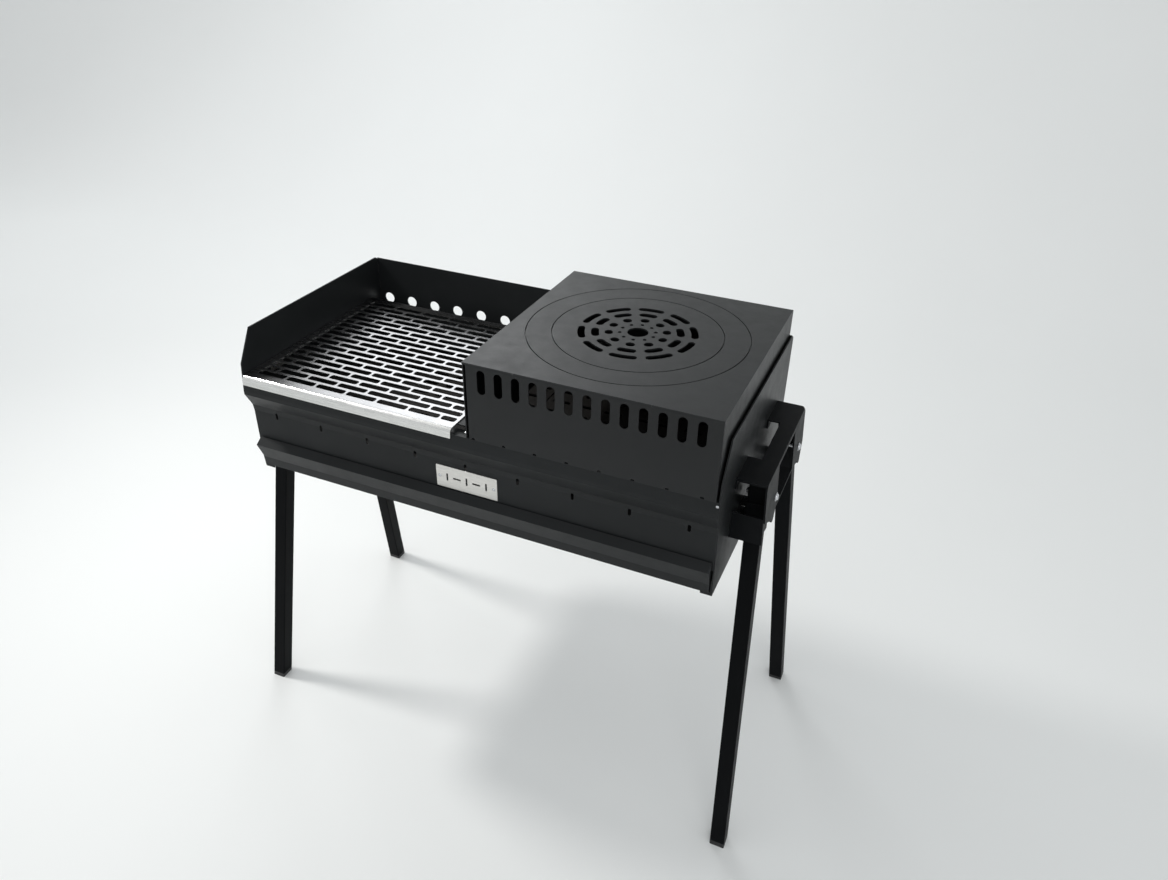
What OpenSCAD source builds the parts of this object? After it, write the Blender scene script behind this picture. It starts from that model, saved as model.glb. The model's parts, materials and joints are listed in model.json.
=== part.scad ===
// Portable charcoal grill: a sheet-steel fire box on four plug-in legs.
// The left half carries a slotted cooking grate behind a wind guard, the right
// half a lift-off stove box with concentric hob rings.
// +X to the right, +Y to the back, +Z up, millimetres. Origin: on the floor, in the middle of the feet.

/* [Fire box] */
// Length of the fire box over its end walls
box_w = 800; // [640:5:1000]
// Depth of the fire box, front panel to back panel
box_d = 374.5; // [356:0.5:450]
// Distance of the middle of the fire box in front of the middle of the feet
box_forward = 17; // [0:0.5:20]
// Height of the fire box rim above the floor
rim_z = 694; // [640:1:860]
// Height of the end walls below the rim
wall_drop = 173.5; // [165:0.5:200]
// Height of the wind guard above the rim
guard_h = 80.5; // [40:0.5:120]
// Thickness of the end walls
wall_t = 2; // [1.5:0.5:3]
// Thickness of the folded body sheets
sheet_t = 1.5; // [1:0.5:2]
// Height of the straight band along the top of the front panel
band_h = 25; // [15:1:35]
// How far the band stands out from the front panel
band_step = 14.5; // [8:0.5:20]

/* [Holes in the body] */
// Distance between the air slots
air_pitch = 89; // [60:1:120]
// Width of an air slot
air_slot_w = 5; // [3:0.5:8]
// Height of an air slot
air_slot_h = 12; // [8:1:24]
// Distance between the draught holes
draught_pitch = 50.4; // [30:0.2:60]
// Diameter of a draught hole
draught_d = 20; // [10:1:24]

/* [Cooking grate] */
// Thickness of the cooking grate
grate_t = 1.5; // [1.5:0.5:3]
// Height of the top of the cooking grate above the rim
grate_rise = 9.5; // [8:0.5:14]
// Gap between the cooking grate and the back panel
grate_back_gap = 31; // [25:0.5:60]
// Distance between the rows of slots
grate_row_pitch = 17.2; // [15:0.01:24]
// Least distance between slots in a row
grate_slot_pitch = 57; // [45:0.5:70]
// Width of a slot in the cooking grate
grate_slot_w = 12; // [6:0.1:13]
// Web between two slots in a row
grate_web = 4; // [3:0.5:12]
// Drop of the lip along the front of the cooking grate
lip_drop = 15.5; // [8:0.5:18]

/* [Stove box] */
// Height of the stove box above the rim
stove_h = 124; // [80:1:140]
// Length of the stove box
stove_w = 380; // [366:0.2:384]
// Thickness of the stove box top and hob rings
hob_t = 3; // [2:0.5:4]
// Diameter of the opening in the stove box top
hob_open_d = 337; // [300:1:340]
// Diameter of the opening in the outer hob ring
disc_open_d = 258.8; // [200:0.2:262]
// Radial gap around each hob ring
ring_gap = 1.6; // [0.5:0.1:2]
// Overlap of a ring on the seat below it
seat_overlap = 9; // [6:0.5:12]
// Distance between the vent slots
vent_pitch = 26.83; // [20:0.01:32]
// Width of a vent slot
vent_w = 13; // [8:0.5:16]
// Height of a vent slot
vent_h = 38; // [20:1:60]
// Slots in each ring of the hob disc
disc_slots = 10; // [6:1:10]
// Diameter of the hole in the middle of the hob disc
disc_hole_d = 31.8; // [20:0.2:36]

/* [Coal bed and ash drawer] */
// Height of the coal grates below the rim
coal_drop = 94; // [80:1:100]
// Thickness of the coal grates
coal_t = 2; // [2:0.5:3]
// Height of the ash pan
pan_h = 37; // [20:1:40]
// Side clearance of the ash drawer
drawer_clear = 1; // [0.5:0.5:4]
// How far the pull stands out in front of the front panel
pull_out = 15; // [8:0.5:18]

/* [Legs and handles] */
// Outside width of the square leg tube
leg_w = 25; // [20:1:30]
// Wall of the leg tube
leg_wall = 1.5; // [1:0.5:3]
// Distance of the leg axes from the end wall, at the height of the handle
leg_stand_off = 23.32; // [22:0.01:26]
// Distance between the front and the back leg axis, at the height of the handle
leg_spacing = 165.5; // [150:0.5:190]
// Sideways lean of the legs in degrees
splay = 3.32; // [2:0.01:4]
// Front to back lean of the legs in degrees
rake = 10.4; // [8:0.05:12]
// Clearance between a leg and its socket
leg_clear = 0.4; // [0.3:0.1:1]
// Wall of the leg socket
socket_t = 2; // [1.5:0.5:3]
// Length of the leg socket
socket_h = 46; // [30:1:60]
// Thickness of the handle bracket
handle_t = 2.5; // [2:0.5:4]
// Drop of the handle bracket top below the rim
handle_drop = 10; // [0:1:20]
// Reach of the handle bracket out from the end wall
handle_reach = 45.5; // [45.5:0.5:60]
// Length of the handle bracket, front to back
handle_l = 248; // [248:1:320]
// Length of the hand hole
hand_hole_l = 115; // [90:1:120]
// Width of the grip rail
grip_w = 25; // [18:1:28]
// Height of the ears that the clamp bolts pass through
ear_h = 92; // [80:1:110]
// Diameter of the clamp bolts
bolt_d = 6; // [5:1:8]

/* [Hidden] */
$fn = 48;
eps = 0.01;
rest_gap = 0.3;          // clearance under every loose piece
black = [0.09, 0.09, 0.10];
steel = [0.72, 0.72, 0.70];
zinc = [0.82, 0.83, 0.84];

inner_x = box_w / 2 - wall_t;             // inner face of the end walls
front_y = -box_forward - box_d / 2;       // outer face of the front panel
back_y = front_y + box_d;                 // outer face of the back panel
band_y = front_y - band_step;             // outer face of the band
inside_y = front_y + sheet_t;             // inner face of the front panel
rear_y = back_y - sheet_t;                // inner face of the back panel
bottom_z = rim_z - wall_drop;             // lower edge of the end walls
guard_z = rim_z + guard_h;
band_lean_z = rim_z - band_h + 7;         // the band leans inwards above this height
knee_z = rim_z - band_h - 25;             // where the step under the band meets the panel
air_slot_z = knee_z - 13.5;
air_mid_x = 2;                            // middle air slot, beside the middle of the fire box
air_each_side = floor((inner_x - 40) / air_pitch);  // air slots on each side of the middle one
draught_each_side = floor((inner_x - draught_d / 2 - 9.5) / draught_pitch + 0.5);
guard_cut_y = 30;                         // depth of the sloping front of the wind guard

runner_w = 16;
runner_h = 22;
runner_rise = 6;                          // shelf of a drawer runner above the lower edge of the end walls
drawer_x = inner_x - sheet_t - drawer_clear;
drawer_z = bottom_z + runner_rise + rest_gap;
pan_top_z = drawer_z + pan_h;
panel_low_z = pan_top_z + 4;              // lower edge of the front panel, just above the ash pan
pull_z = drawer_z + 46.5;                 // tip of the pull
pull_top_z = pull_z + 9.5;
pull_foot_z = drawer_z + 17;

coal_z = rim_z - coal_drop;
coal_rail_w = 15;
coal_clear = 3;                           // gap between a coal grate and the end wall
coal_front_gap = 2;                       // gap between a coal grate and the front or back panel
coal_half_gap = 1.5;                      // half the gap between the two coal grates
coal_margin = 22;                         // plain edge at the front and back of a coal grate

grate_z = rim_z + grate_rise;             // top of the cooking grate
guard_low_z = grate_z + 19;               // where the sloping front of the wind guard starts
lip_fold_r = 7;                           // outside radius of the fold between the grate and its lip
grate_y0 = front_y - 8.7;                 // where the lip folds down
grate_y1 = rear_y - grate_back_gap;
rail_z = grate_z - grate_t - rest_gap;    // top of the rails that carry the grate
rail_w = 18;
tab_gap = 1;                              // play between the tabs under the grate and its rails

stove_x1 = inner_x - 3.6;
stove_x0 = stove_x1 - stove_w;
stove_mid_x = (stove_x0 + stove_x1) / 2;
stove_y0 = band_y + 0.5;
stove_y1 = rear_y - 2;
stove_z0 = rim_z + rest_gap;
stove_z1 = rim_z + stove_h;
stove_corner_gap = 6.7;                   // relief between the front sheet and the left side plate
edge_r = 3;                               // outside radius of the folds along the stove box top
hob_x = stove_mid_x - 2.6;
hob_y = (stove_y0 + stove_y1) / 2 + 6.5;
vent_mid_x = stove_mid_x + 1.6;
vents_each_side = floor((stove_w - vent_w - 42) / 2 / vent_pitch);
notch_pitch = 49.6;
notch_inset = 13.2;
outer_ring_d = hob_open_d - 2 * ring_gap;
disc_d = disc_open_d - 2 * ring_gap;

crossbar_x0 = stove_x0 - 11.9;            // upright web of the centre crossbar
crossbar_x1 = stove_x0 + 17.6;            // free edge of the shelf under the stove box
grate_x0 = -inner_x + 1.5;
grate_x1 = stove_x0 - 24.9;
shelf_x0 = grate_x1 - 8;                  // free edge of the shelf under the grate
grate_field_x0 = grate_x0 + 11.5;            // the slots lie between these two
grate_field_x1 = grate_x1 - 2.7;
first_row_y = grate_y0 + 19.2;
grate_rows = floor((grate_y1 - 16 - first_row_y) / grate_row_pitch) + 1;
grate_slots = floor((grate_field_x1 - grate_field_x0) / grate_slot_pitch - 0.5);
slot_step = (grate_field_x1 - grate_field_x0) / (grate_slots + 0.5);

splay_slope = tan(splay);
handle_z = rim_z - handle_drop;           // top face of the handle bracket
leg_scale = cos(splay) * cos(rake);       // height gained per unit length of leg
leg_top_z = handle_z - handle_t - 14;     // highest reach of the leg axis
socket_low_z = handle_z - 103;
clamp_z = socket_low_z + socket_h * leg_scale + bolt_d / 2 + 1.83;  // clamp bolts, just above the sockets
clamp_side = leg_w / 2 / cos(rake) + leg_clear + bolt_d / 2 + 0.6;  // bolt axis beside the leg axis
handle_mid_y = (front_y + back_y) / 2 + 2;
wall_x = box_w / 2;                       // outer face of the end wall
plate_x = wall_x + handle_reach;          // outer face of the bracket at its top edge
foot_h = 8;                               // height of the plastic foot below the tube
foot_x = wall_x + leg_stand_off + handle_z * splay_slope;
foot_y = leg_spacing / 2 + handle_z * tan(rake) / cos(splay);
screw_hole = 0.1;                         // a screw hole is this much wider than its screw
crossbar_screw_d = 4;
bracket_screw_d = 5;

// Helpers -----------------------------------------------------------------

function unit(v) = v / norm(v);
function left_of(v) = [-v.y, v.x];
function mitre(a, b, c) = let (u = left_of(unit(b - a)), w = left_of(unit(c - b))) (u + w) / (1 + u * w);
function beside(p, t) = [for (i = [0:len(p) - 1]) p[i] + t * (
    i == 0 ? left_of(unit(p[1] - p[0])) :
    i == len(p) - 1 ? left_of(unit(p[i] - p[i - 1])) : mitre(p[i - 1], p[i], p[i + 1]))];
function backwards(p) = [for (i = [len(p) - 1:-1:0]) p[i]];
// Points of an arc in n steps, without the first and last skip points
function arc(c, r, a0, a1, n = 8, skip = 0) =
    [for (i = [skip:n - skip]) c + r * [cos(a0 + (a1 - a0) * i / n), sin(a0 + (a1 - a0) * i / n)]];

// A 2-D outline in (Y, Z), pushed out along X from x0 to x1
module along_x(x0, x1) {
    translate([x0, 0, 0]) rotate([90, 0, 90]) linear_extrude(x1 - x0) children();
}

// A folded sheet of thickness t whose outer line in (Y, Z) is path
module folded(path, t, x0, x1) {
    along_x(x0, x1) polygon(concat(path, backwards(beside(path, t))));
}

// A slot with round ends, centred, long side along the first or second axis
module slot_2d(l, w) {
    square([l - w, w], center = true);
    for (s = [-1, 1]) translate([s * (l - w) / 2, 0]) circle(d = w);
}

module rounded_2d(w, h, r) {
    square([w - 2 * r, h], center = true);
    square([w, h - 2 * r], center = true);
    for (i = [-1, 1]) for (j = [-1, 1]) translate([i * (w / 2 - r), j * (h / 2 - r)]) circle(r = r);
}

// Cuts a 2-D shape drawn in (X, Z) through the material between y0 and y1
module through_y(y0, y1) {
    translate([0, y1, 0]) rotate([90, 0, 0]) linear_extrude(y1 - y0) children();
}

module box(a, b) { translate(a) cube(b - a); }

// Draws its children for the right end as they are, or mirrored for the left end
module at_end(side) { mirror([side < 0 ? 1 : 0, 0, 0]) children(); }

// Body ----------------------------------------------------------------------

wall_outline = concat(
    [[back_y, bottom_z]],
    arc([back_y - 9, guard_z - 9], 9, 0, 90),
    [[band_y + 5 + guard_cut_y, guard_z], [band_y + 5, guard_low_z], [band_y + 3, grate_z],
    [band_y, band_lean_z], [band_y, rim_z - band_h], [front_y - 1.5, knee_z], [front_y, knee_z - 11],
    [front_y, bottom_z + 22], [front_y + 2, bottom_z]]);

module end_wall(side) {
    color(black) at_end(side) difference() {
        along_x(inner_x, wall_x) polygon(wall_outline);
        bracket_screw_axes() translate([0, 0, -10]) cylinder(d = bracket_screw_d + screw_hole, h = 20);
    }
}

module front_panel() {
    color(black) difference() {
        folded([[front_y + 6, rim_z], [band_y + 1.5, rim_z], [band_y, band_lean_z],
            [band_y, rim_z - band_h], [front_y - 1.5, knee_z], [front_y, knee_z - 11],
            [front_y, panel_low_z]], sheet_t, -inner_x, inner_x);
        for (i = [-air_each_side:air_each_side])
            translate([air_mid_x + i * air_pitch, 0, air_slot_z])
                through_y(front_y - 5, front_y + 10) rotate(90) slot_2d(air_slot_h, air_slot_w);
        crossbar_screw_axis() translate([0, 0, -12]) cylinder(d = crossbar_screw_d + screw_hole, h = 20);
    }
}

module back_panel() {
    color(black) difference() {
        box([-inner_x, rear_y, bottom_z + 2], [inner_x, back_y, guard_z - 2]);
        for (i = [-draught_each_side:draught_each_side - 1])
            translate([(i + 0.5) * draught_pitch, 0, rim_z + 1])
                through_y(rear_y - 5, back_y + 5) circle(d = draught_d);
    }
}

// An angle along Y against the right end wall: shelf with its top at z, flange of height h, up or down
module end_angle(w, z, y0, y1, h, up) {
    box([inner_x - w, y0, z - sheet_t], [inner_x, y1, z]);
    box([inner_x - sheet_t, y0, up ? z - sheet_t : z - h], [inner_x, y1, up ? z + h : z]);
}

module grate_rail() {
    color(black) at_end(-1) end_angle(rail_w, rail_z, inside_y + 12, grate_y1, 14, false);
}

module stove_rail() {
    color(black) end_angle(rail_w, rim_z, inside_y + 12, rear_y - 16, 14, false);
}

// Shelf behind the stove box, hung on tabs between the draught holes
module rear_rail() {
    rail_x0 = crossbar_x1 - 12;
    first_tab = ceil((rail_x0 + 5) / draught_pitch) * draught_pitch;
    color(black) {
        box([rail_x0, rear_y - 15, rim_z - sheet_t], [inner_x, rear_y, rim_z]);
        for (x = [first_tab : draught_pitch : inner_x - 20])
            box([x - 5, rear_y - sheet_t, rim_z - 24], [x + 5, rear_y, rim_z]);
    }
}

module crossbar_screw_axis() { translate([crossbar_x0 + 6.5, front_y + 1, rim_z]) children(); }

// Step-shaped bar from front to back: the grate rests on its upper shelf, the stove box on its lower one
module centre_crossbar() {
    web_x = crossbar_x0 + sheet_t;
    bar_y0 = front_y + 6;
    color(black) {
        box([shelf_x0, bar_y0, rail_z - sheet_t], [web_x, grate_y1, rail_z]);
        box([crossbar_x0, bar_y0, rim_z - eps], [web_x, grate_y1, rail_z]);
        box([crossbar_x0, bar_y0, rim_z - 14], [web_x, rear_y, rim_z]);
        box([crossbar_x0, bar_y0, rim_z - sheet_t], [crossbar_x1, rear_y - 15, rim_z]);
        // tab under the front panel's top flange
        difference() {
            box([crossbar_x0, front_y - 4, rim_z - 2 * sheet_t],
                [crossbar_x1, front_y + 24, rim_z - sheet_t]);
            crossbar_screw_axis() translate([0, 0, -12])
                cylinder(d = crossbar_screw_d + screw_hole, h = 20);
        }
    }
}

module crossbar_screws() {
    color(zinc) crossbar_screw_axis() {
        cylinder(d = 2 * crossbar_screw_d, h = 2.4);
        translate([0, 0, -9]) cylinder(d = crossbar_screw_d, h = 9 + eps);
    }
}

module coal_rail(y0, dir) {
    y1 = y0 + dir * coal_rail_w;
    z = coal_z - coal_t - rest_gap;
    color(black) {
        box([-inner_x, min(y0, y1), z - sheet_t], [inner_x, max(y0, y1), z]);
        box([-inner_x, min(y0, y0 + dir * sheet_t), z - 12], [inner_x, max(y0, y0 + dir * sheet_t), z]);
    }
}

module drawer_runner(side) {
    runner_y0 = front_y + 2;
    color(black) at_end(side) {
        end_angle(runner_w, bottom_z + runner_rise, runner_y0, rear_y, runner_h - sheet_t, true);
        // lip that closes the front of the shelf
        box([inner_x - runner_w, runner_y0, bottom_z],
            [inner_x, runner_y0 + sheet_t, bottom_z + runner_rise]);
    }
}

// Nameplate with a plain row of pill-shaped slots in place of lettering
plate_w = 106;
plate_h = 39;
plate_t = 1.2;
plate_mid = [3.5, pull_top_z + 2.5 + plate_h / 2];
rivet_x = plate_w / 2 - 6;
rivet_d = 3.2;

module nameplate() {
    color(steel) difference() {
        translate([plate_mid.x, 0, plate_mid.y])
            through_y(front_y - plate_t, front_y) rounded_2d(plate_w, plate_h, 1.5);
        for (i = [-2:2])
            translate([plate_mid.x + i * 17, 0, plate_mid.y])
                through_y(front_y - plate_t - 1, front_y + 1) rotate(i % 2 == 0 ? 90 : 0) slot_2d(14, 3);
        for (i = [-1, 1])
            translate([plate_mid.x + i * rivet_x, 0, plate_mid.y])
                through_y(front_y - plate_t - 1, front_y + 1) circle(d = rivet_d);
    }
}

module nameplate_rivets() {
    color(zinc) for (i = [-1, 1]) translate([plate_mid.x + i * rivet_x, front_y, plate_mid.y]) {
        rotate([90, 0, 0]) cylinder(d = rivet_d, h = plate_t);
        translate([0, -plate_t, 0]) rotate([90, 0, 0]) cylinder(d = 5.5, h = 0.9);
    }
}

// Handle brackets, leg sockets and their bolts ---------------------------------

// Frame of the leaning outer plate: x out of the plate, y as the body's, z up the plate from its top edge
module in_plate_plane() { translate([plate_x, 0, handle_z]) rotate([0, -splay, 0]) children(); }

// Inner face of the outer plate at height z
function plate_inside_x(z) = plate_x + (handle_z - z) * splay_slope - handle_t;

// Centre of a leg at height z
function leg_x(z) = foot_x - z * splay_slope;
function leg_y(z) = foot_y - z * tan(rake) / cos(splay);

clamp_y = [for (dir = [-1, 1]) dir * (leg_y(clamp_z) - clamp_side)];
ear_tip_y = [for (dir = [-1, 1]) dir * (leg_y(handle_z - ear_h) - 12)];
cheek_low_z = socket_low_z + 2;
cheek_h = 45;
leg_depth = (plate_x - leg_x(handle_z)) * cos(splay);  // leg axis behind the outer plate's face
socket_back = leg_depth + leg_w / 2 + leg_clear + socket_t;  // back of the socket tube behind that face
plate_lap = 0.3;                          // the socket's inner plate stands this far behind its tube
clamp_grip = socket_back + plate_lap;     // from the bolt head to the nut

// Ear in the plate's plane: y_end is its free edge, y_hole its edge at the hand hole, dir points outwards
function ear(y_end, y_hole, y_tip, dir) = concat(
    [[y_hole, 0], [y_end - dir * 6, 0], [y_end, -7], [y_end, 30 - ear_h]],
    arc([y_tip, 9 - ear_h], 9, dir > 0 ? -10 : 190, dir > 0 ? -170 : 350),
    [[y_hole, 18 - ear_h]]);

module handle_plates() {
    y0 = handle_mid_y - handle_l / 2;
    y1 = handle_mid_y + handle_l / 2;
    h0 = handle_mid_y - hand_hole_l / 2;
    h1 = handle_mid_y + hand_hole_l / 2;
    // top with the hand hole
    translate([0, 0, handle_z - handle_t]) linear_extrude(handle_t) difference() {
        translate([wall_x, y0]) square([handle_reach - 1.2, handle_l]);
        translate([wall_x - 1, h0]) square([handle_reach - grip_w + 1, hand_hole_l]);
        for (e = [[y0, 1], [y1, -1]]) translate([plate_x - 7, e[0] + e[1] * 6]) difference() {
            translate([0, e[1] < 0 ? 0 : -7]) square([7, 7]);
            circle(r = 6);
        }
    }
    // outer plate: grip flange, two ears and the strip between them, leaning out with the legs
    g0 = h0 + 6;
    g1 = h1 - 6;
    in_plate_plane() along_x(-handle_t, 0) difference() {
        union() {
            translate([y0 + 6, -7]) square([handle_l - 12, 7]);
            polygon(ear(y0, g0, ear_tip_y[0], -1));
            polygon(ear(y1, g1, ear_tip_y[1], 1));
            translate([g0 - 1, 15 - ear_h]) square([g1 - g0 + 2, 3]);
        }
        for (y = clamp_y) translate([y, clamp_z - handle_z]) circle(d = bolt_d + screw_hole);
    }
    // front cheek of the leg housing
    cheek_top_z = cheek_low_z + cheek_h;
    through_y(y0, y0 + handle_t)
        polygon([[wall_x, cheek_low_z], [plate_inside_x(cheek_low_z), cheek_low_z],
            [plate_inside_x(cheek_top_z), cheek_top_z], [wall_x, cheek_top_z]]);
    // feet of the two arms, against the end wall
    for (y = [[y0, h0], [h1, y1]]) difference() {
        box([wall_x, y[0], handle_z - 16], [wall_x + handle_t, y[1], handle_z]);
        bracket_screw_axes() translate([0, 0, -10]) cylinder(d = bracket_screw_d + screw_hole, h = 20);
    }
}

// Axes of the screws that hold the right bracket to its end wall
module bracket_screw_axes() {
    for (dir = [-1, 1])
        translate([wall_x, handle_mid_y + dir * (hand_hole_l / 2 + 24), handle_z - 10])
            rotate([0, 90, 0]) children();
}

module handle_bracket(side) { color(black) at_end(side) handle_plates(); }

// Everything of a leg is drawn for the back right leg along its axis, then mirrored to its place
module at_leg(side, back) {
    mirror([side < 0 ? 1 : 0, 0, 0]) mirror([0, back < 0 ? 1 : 0, 0]) children();
}

// From the foot centre, up the leg axis
module up_the_leg() {
    translate([foot_x, foot_y, 0]) rotate([0, -splay, 0]) rotate([rake, 0, 0]) children();
}

module leg_socket(side, back) {
    outer = leg_w + 2 * (leg_clear + socket_t);
    z0 = socket_low_z + 4 - handle_z;
    y0 = clamp_y[1] - 12;
    color(black) at_leg(side, back) {
        up_the_leg() translate([0, 0, socket_low_z / leg_scale]) linear_extrude(socket_h) difference() {
            rounded_2d(outer, outer, 2.5);
            square(leg_w + 2 * leg_clear, center = true);
        }
        // inner plate, which carries the clamp bolt
        in_plate_plane() translate([-socket_back, 0, 0]) difference() {
            box([-plate_lap, y0, z0], [socket_t - 0.5, y0 + 30, clamp_z + 14 - handle_z]);
            translate([-5, clamp_y[1], clamp_z - handle_z]) rotate([0, 90, 0])
                cylinder(d = bolt_d + screw_hole, h = 12);
        }
        // stand-off to the end wall
        difference() {
            for (z = [socket_low_z + 6, socket_low_z + 26])
                box([wall_x, y0, z], [leg_x(z), y0 + 24, z + socket_t]);
            in_plate_plane() box([socket_t / 2 - socket_back, 0, -handle_z], [foot_x, foot_y, 0]);
        }
        box([wall_x, y0, socket_low_z + 6], [wall_x + socket_t, y0 + 24, socket_low_z + 26 + socket_t]);
    }
}

// Axes of the two clamp bolts of the right end, pointing out of the outer plate
module clamp_axes() {
    in_plate_plane() for (y = clamp_y) translate([0, y, clamp_z - handle_z]) rotate([0, 90, 0]) children();
}

module clamp_bolts() {
    color(zinc) for (side = [-1, 1]) at_end(side) clamp_axes() {
        cylinder(d = bolt_d + 5, h = 1.2);
        translate([0, 0, 1.2 - eps]) cylinder(d1 = bolt_d + 4, d2 = bolt_d, h = 2);
        translate([0, 0, -clamp_grip - 6]) cylinder(d = bolt_d, h = clamp_grip + 6 + eps);
    }
}

module clamp_nuts() {
    color(zinc) for (side = [-1, 1]) at_end(side) clamp_axes()
        translate([0, 0, -clamp_grip - 5.05]) difference() {
            cylinder(d = 1.9 * bolt_d + 0.1, h = 5, $fn = 6);
            translate([0, 0, -1]) cylinder(d = bolt_d + screw_hole, h = 7);
        }
}

module bracket_screws() {
    color(zinc) for (side = [-1, 1]) at_end(side) bracket_screw_axes() {
        translate([0, 0, handle_t]) cylinder(d = 1.8 * bracket_screw_d, h = 3);
        translate([0, 0, -wall_t - 3]) cylinder(d = bracket_screw_d, h = handle_t + wall_t + 3 + eps);
    }
}

// Cooking grate ---------------------------------------------------------------

module grate_slots_2d() {
    slot_l = slot_step - grate_web;
    slot_r = grate_slot_w / 3;
    for (j = [0:grate_rows - 1]) {
        odd = j % 2;
        y = first_row_y + j * grate_row_pitch;
        for (i = [0:grate_slots - 1])
            translate([grate_field_x0 + (i + 0.5 + odd * 0.5) * slot_step, y])
                rounded_2d(slot_l, grate_slot_w, slot_r);
        // half slot that fills the row
        translate([grate_field_x0 + (odd ? 0.25 : grate_slots + 0.25) * slot_step, y])
            rounded_2d(slot_step / 2 - grate_web, grate_slot_w, slot_r);
    }
}

module cooking_grate() {
    color(steel) {
        translate([0, 0, grate_z - grate_t]) linear_extrude(grate_t) difference() {
            translate([grate_x0, grate_y0]) square([grate_x1 - grate_x0, grate_y1 - grate_y0]);
            grate_slots_2d();
        }
        // front fold and lip
        folded(concat([[grate_y0 + eps, grate_z]],
            arc([grate_y0, grate_z - lip_fold_r], lip_fold_r, 90, 165, 5),
            [[grate_y0 - 8, grate_z - lip_drop]]), grate_t, grate_x0, grate_x1);
    }
}

module grate_end_tabs() {
    color(steel) for (x = [rail_w - inner_x + tab_gap, shelf_x0 - tab_gap - grate_t])
        box([x, grate_y0 + 40, grate_z - grate_t - 8], [x + grate_t, grate_y0 + 70, grate_z - grate_t]);
}

// Stove box ---------------------------------------------------------------------

module stove_top() {
    color(black) difference() {
        union() {
            box([stove_x0, stove_y0 + sheet_t, stove_z1 - hob_t], [stove_x1, stove_y1 - sheet_t, stove_z1]);
            folded(concat([[stove_y1, stove_z0]],
                arc([stove_y1 - edge_r, stove_z1 - edge_r], edge_r, 0, 90, 5),
                [[stove_y1 - 8, stove_z1]]), sheet_t, stove_x0 + stove_corner_gap, stove_x1);
            folded(concat([[stove_y0 + 8, stove_z1]],
                arc([stove_y0 + edge_r, stove_z1 - edge_r], edge_r, 90, 180, 5),
                [[stove_y0, stove_z0]]), sheet_t, stove_x0 + stove_corner_gap, stove_x1);
        }
        translate([hob_x, hob_y, stove_z1 - hob_t - 1]) cylinder(d = hob_open_d, h = hob_t + 2, $fn = 96);
        for (i = [-vents_each_side:vents_each_side])
            translate([vent_mid_x + i * vent_pitch, 0, stove_z1 - 6.5 - vent_h / 2])
                through_y(stove_y0 - 1, stove_y0 + 5) rotate(90) slot_2d(vent_h, vent_w);
        // notches along the lower front edge
        for (x = [stove_x0 + notch_inset : notch_pitch : stove_x1 - notch_inset])
            translate([x, 0, stove_z0 + 0.8]) through_y(stove_y0 - 1, stove_y0 + 5) slot_2d(6.2, 4.6);
    }
}

module stove_side(x) {
    color(black) box([x, stove_y0 + sheet_t + 1, stove_z0],
        [x + sheet_t, stove_y1 - sheet_t - 1, stove_z1 - hob_t]);
}

module stove_ring_seat() {
    color(black) translate([hob_x, hob_y, stove_z1 - 2 * hob_t]) difference() {
        cylinder(d = hob_open_d + 10, h = hob_t, $fn = 96);
        translate([0, 0, -1]) cylinder(d = hob_open_d - 2 * seat_overlap, h = hob_t + 2, $fn = 96);
    }
}

module hob_plate(outer, hole) {
    translate([hob_x, hob_y, stove_z1 - hob_t + rest_gap]) difference() {
        cylinder(d = outer, h = hob_t - rest_gap, $fn = 96);
        translate([0, 0, -1]) cylinder(d = hole, h = hob_t + 2, $fn = 96);
    }
}

module outer_ring() { color(black) hob_plate(outer_ring_d, disc_open_d); }

module disc_seat() {
    color(black) translate([hob_x, hob_y, stove_z1 - 2 * hob_t + rest_gap]) difference() {
        cylinder(d = disc_open_d + 16, h = hob_t, $fn = 96);
        translate([0, 0, -1]) cylinder(d = disc_open_d - 2 * seat_overlap, h = hob_t + 2, $fn = 96);
    }
}

// Curved slot between radii r0 and r1, spanning angle a, with round ends
function arc_slot(r0, r1, a) =
    let (rm = (r0 + r1) / 2, w = r1 - r0, end = a / 2 - asin(w / 2 / rm))
    concat(
        arc([0, 0], r1, -end, end, 6),
        arc(rm * [cos(end), sin(end)], w / 2, end, end + 180, 8, 1),
        arc([0, 0], r0, end, -end, 6),
        arc(rm * [cos(end), -sin(end)], w / 2, -end - 180, -end, 8, 1));

module hob_disc() {
    turn = 360 / disc_slots;
    disc_t = hob_t - 2 * rest_gap;
    color(black) translate([hob_x, hob_y, stove_z1 - disc_t]) linear_extrude(disc_t) difference() {
        circle(d = disc_d, $fn = 96);
        circle(d = disc_hole_d);
        for (k = [0:disc_slots - 1]) rotate(24 + k * turn) {
            translate([27, 0]) circle(d = 6);
            polygon(arc_slot(37, 50, turn * 0.53));
            polygon(arc_slot(58, 70, turn * 0.72));
            polygon(arc_slot(79.5, 90.5, turn * 0.78));
        }
    }
}

// Coal grates and ash drawer --------------------------------------------------------

module coal_grate(side) {
    w = inner_x - coal_clear - coal_half_gap;
    y0 = inside_y + coal_front_gap;
    y1 = rear_y - coal_front_gap;
    field_d = y1 - y0 - 2 * coal_margin;
    nx = floor(w / 49);
    ny = floor(field_d / 35.5);
    color(black) at_end(side) translate([coal_half_gap, 0, coal_z - coal_t]) linear_extrude(coal_t)
        difference() {
            translate([0, y0]) square([w, y1 - y0]);
            for (i = [0:nx - 1]) for (j = [0:ny - 1])
                translate([(i + 0.5) * w / nx, y0 + coal_margin + (j + 0.5) * field_d / ny]) slot_2d(34, 9);
        }
}

drawer_back_y = rear_y - 4;
pull_outline = [[front_y - 2, pull_top_z], [front_y - pull_out, pull_z], [front_y - 3, pull_foot_z],
    [front_y - 0.5, drawer_z]];

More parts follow.
